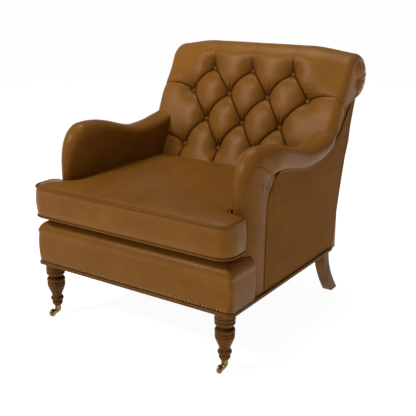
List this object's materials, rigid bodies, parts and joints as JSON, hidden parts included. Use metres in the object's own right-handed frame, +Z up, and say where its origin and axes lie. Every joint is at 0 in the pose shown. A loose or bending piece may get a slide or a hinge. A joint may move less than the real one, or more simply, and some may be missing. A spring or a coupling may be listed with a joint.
{
  "type": "upholstered armchair",
  "caption": "Low leather armchair with a deep-buttoned scroll back, sloping padded arms, a loose T-shaped seat cushion, turned front legs on casters and splayed rear legs.",
  "frame": {"origin": "floor level under the middle of the chair's overall length and width", "axes": "+Z up; the chair faces -Y, so seen from the front +X is on the right"},
  "size_m": [0.7802, 0.9145, 0.879],
  "materials": {
    "tan_leather": "waxed, semi-matt",
    "piping_leather": "waxed, semi-matt",
    "foam": "matt",
    "lining_cloth": "matt",
    "stained_wood": "satin lacquer",
    "frame_timber": "raw",
    "antique_brass": "aged",
    "aged_bronze": "aged",
    "steel": "plain",
    "glide": "matt",
    "zip": "woven"
  },
  "bodies": {
    "chair": {"arm_facings": "tan_leather", "arm_posts": "frame_timber", "arm_rails": "frame_timber", "arm_welts": "piping_leather", "back_bottom_rail": "frame_timber", "back_pad": "foam", "back_scroll": "tan_leather", "back_side_bands": "tan_leather", "back_top_rail": "frame_timber", "back_webbing": "lining_cloth", "base_welt": "piping_leather", "corner_block_screws": "steel", "corner_blocks": "frame_timber", "deck_cover": "lining_cloth", "deck_pad": "foam", "dust_cover": "lining_cloth", "front_border_cover": "tan_leather", "front_border_pad": "foam", "front_left_leg": "stained_wood", "front_right_leg": "stained_wood", "front_seat_rail": "frame_timber", "left_arm_cover": "tan_leather", "left_arm_pad": "foam", "left_back_post": "frame_timber", "left_caster_socket": "antique_brass", "left_outside_arm": "tan_leather", "left_seat_rail": "frame_timber", "leg_bolts": "steel", "nailhead_trim": "aged_bronze", "outside_back": "tan_leather", "outside_back_welts": "piping_leather", "rear_glides": "glide", "rear_left_leg": "stained_wood", "rear_right_leg": "stained_wood", "rear_seat_rail": "frame_timber", "right_arm_cover": "tan_leather", "right_arm_pad": "foam", "right_back_post": "frame_timber", "right_caster_socket": "antique_brass", "right_outside_arm": "tan_leather", "right_seat_rail": "frame_timber", "scroll_rail": "frame_timber", "seat_springs": "steel", "spring_clips": "steel", "spring_cloth": "lining_cloth", "tuft_buttons": "tan_leather", "tufted_back": "tan_leather"},
    "seat_cushion": {"cushion_bottom_panel": "tan_leather", "cushion_boxing": "tan_leather", "cushion_core": "foam", "cushion_top_panel": "tan_leather", "cushion_welts": "piping_leather", "cushion_zip": "zip"},
    "left_caster_swivel": {"left_caster_horn": "antique_brass", "left_caster_axle": "antique_brass"},
    "left_caster_roller": {"left_caster_wheel": "antique_brass"},
    "right_caster_swivel": {"right_caster_horn": "antique_brass", "right_caster_axle": "antique_brass"},
    "right_caster_roller": {"right_caster_wheel": "antique_brass"}
  },
  "joints": [
    {"name": "cushion_lift", "type": "slide", "parent": "chair", "child": "seat_cushion", "axis": [0, 0, 1], "range_m": [0, 0.28]},
    {"name": "left_caster_turn", "type": "hinge", "parent": "chair", "child": "left_caster_swivel", "pos_m": [-0.342, -0.407, 0.018], "axis": [0, 0, 1], "continuous": true},
    {"name": "left_wheel_roll", "type": "hinge", "parent": "left_caster_swivel", "child": "left_caster_roller", "pos_m": [-0.342, -0.433, 0.0135], "axis": [1, 0, 0], "continuous": true},
    {"name": "right_caster_turn", "type": "hinge", "parent": "chair", "child": "right_caster_swivel", "pos_m": [0.342, -0.407, 0.018], "axis": [0, 0, 1], "continuous": true},
    {"name": "right_wheel_roll", "type": "hinge", "parent": "right_caster_swivel", "child": "right_caster_roller", "pos_m": [0.342, -0.433, 0.0135], "axis": [1, 0, 0], "continuous": true}
  ]
}
